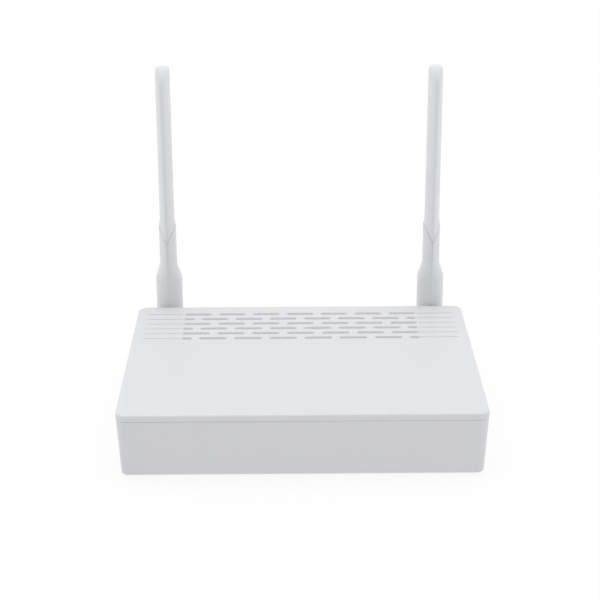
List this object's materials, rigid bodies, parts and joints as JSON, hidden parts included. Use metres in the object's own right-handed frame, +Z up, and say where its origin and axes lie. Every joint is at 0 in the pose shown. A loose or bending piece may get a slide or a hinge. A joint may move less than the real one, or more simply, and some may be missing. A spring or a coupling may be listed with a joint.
{
  "type": "optical network terminal",
  "caption": "Flat white desktop fibre terminal with a slotted lid, a rear row of sockets and paddle antennas that swivel and fold back.",
  "frame": {"origin": "centre of the whole outline, on the surface that the feet stand on", "axes": "+X to the right seen from the plain front, +Y to the rear sockets, +Z up"},
  "size_m": [0.176, 0.1598, 0.1648],
  "materials": {
    "case_plastic": "cool white moulded plastic, satin, very fine texture",
    "key_plastic": "light grey moulded plastic, satin",
    "clear_plastic": "clear moulded plastic, unlit",
    "led_lens": "pale yellow lens, unlit",
    "foot_rubber": "dark grey soft rubber",
    "screw_steel": "zinc plated steel",
    "label_film": "blank white film",
    "board_laminate": "green solder mask",
    "chip_epoxy": "black moulded epoxy",
    "thermal_pad": "soft blue-grey pad",
    "sink_aluminium": "extruded, plain",
    "shield_tin": "tinned sheet steel",
    "fibre_blue": "blue moulded plastic",
    "cap_black": "black soft plastic",
    "lan_yellow": "yellow moulded plastic",
    "contact_gold": "gold flashed spring wire",
    "tel_grey": "grey moulded plastic",
    "switch_black": "black moulded plastic",
    "tongue_white": "white moulded plastic",
    "capacitor_sleeve": "blue-grey shrink sleeve on an aluminium can",
    "ferrite": "dark ferrite",
    "ceramic": "tan ceramic",
    "lead_jacket": "black jacket",
    "element_brass": "brass tube"
  },
  "bodies": {
    "case": {"top_cover": "case_plastic", "bottom_case": "case_plastic", "light_guide": "clear_plastic", "indicator_leds": "led_lens", "rubber_feet": "foot_rubber", "case_screws": "screw_steel", "rating_label": "label_film", "main_board": "board_laminate", "board_screws": "screw_steel", "processor": "chip_epoxy", "processor_pad": "thermal_pad", "heat_sink": "sink_aluminium", "memory_chip": "chip_epoxy", "flash_chip": "chip_epoxy", "wifi_chip": "chip_epoxy", "wifi_shield": "shield_tin", "line_chip": "chip_epoxy", "optical_receptacle": "fibre_blue", "optical_subassembly": "shield_tin", "optics_shield": "shield_tin", "lan_jack_1": "lan_yellow", "lan_jack_2": "lan_yellow", "lan_jack_3": "lan_yellow", "lan_jack_4": "lan_yellow", "lan_contacts": "contact_gold", "lan_transformers": "chip_epoxy", "tel_jack": "tel_grey", "tel_contacts": "contact_gold", "dc_jack": "switch_black", "dc_jack_pin": "screw_steel", "power_switch": "switch_black", "usb_shell": "shield_tin", "usb_tongue": "tongue_white", "side_switches": "switch_black", "reset_switch": "switch_black", "capacitors": "capacitor_sleeve", "inductors": "ferrite", "chip_components": "ceramic", "crystals": "shield_tin", "coax_sockets": "contact_gold", "antenna_left_lead": "lead_jacket", "antenna_right_lead": "lead_jacket"},
    "left_mount": {"antenna_left_swivel": "case_plastic", "antenna_left_clip": "screw_steel", "antenna_left_pin": "screw_steel"},
    "left_antenna": {"antenna_left_sleeve": "case_plastic", "antenna_left_radome": "case_plastic", "antenna_left_element": "element_brass"},
    "right_mount": {"antenna_right_swivel": "case_plastic", "antenna_right_clip": "screw_steel", "antenna_right_pin": "screw_steel"},
    "right_antenna": {"antenna_right_sleeve": "case_plastic", "antenna_right_radome": "case_plastic", "antenna_right_element": "element_brass"},
    "power_key": {"power_button": "key_plastic"},
    "wlan_key": {"wlan_button": "key_plastic"},
    "wps_key": {"wps_button": "key_plastic"},
    "reset_key": {"reset_plunger": "tongue_white"},
    "fibre_cap": {"dust_plug": "cap_black"}
  },
  "joints": [
    {"name": "antenna_left_swivel_turn", "type": "hinge", "parent": "case", "child": "left_mount", "pos_m": [-0.0718, 0.069, 0.0172], "axis": [0, 1, 0], "range_deg": [-90, 20]},
    {"name": "antenna_left_tilt", "type": "hinge", "parent": "left_mount", "child": "left_antenna", "pos_m": [-0.0718, 0.069, 0.0172], "axis": [-1, 0, 0], "range_deg": [0, 90]},
    {"name": "antenna_right_swivel_turn", "type": "hinge", "parent": "case", "child": "right_mount", "pos_m": [0.0718, 0.069, 0.0172], "axis": [0, 1, 0], "range_deg": [-20, 90]},
    {"name": "antenna_right_tilt", "type": "hinge", "parent": "right_mount", "child": "right_antenna", "pos_m": [0.0718, 0.069, 0.0172], "axis": [-1, 0, 0], "range_deg": [0, 90]},
    {"name": "power_button_press", "type": "slide", "parent": "case", "child": "power_key", "axis": [0, -1, 0], "range_m": [0, 0.0025], "stiffness_N_per_m": 300},
    {"name": "wlan_button_press", "type": "slide", "parent": "case", "child": "wlan_key", "axis": [-1, 0, 0], "range_m": [0, 0.0005], "stiffness_N_per_m": 400},
    {"name": "wps_button_press", "type": "slide", "parent": "case", "child": "wps_key", "axis": [-1, 0, 0], "range_m": [0, 0.0005], "stiffness_N_per_m": 400},
    {"name": "reset_press", "type": "slide", "parent": "case", "child": "reset_key", "axis": [0, -1, 0], "range_m": [0, 0.0003], "stiffness_N_per_m": 400},
    {"name": "dust_plug_slide", "type": "slide", "parent": "case", "child": "fibre_cap", "axis": [0, 1, 0], "range_m": [0, 0.02]}
  ]
}
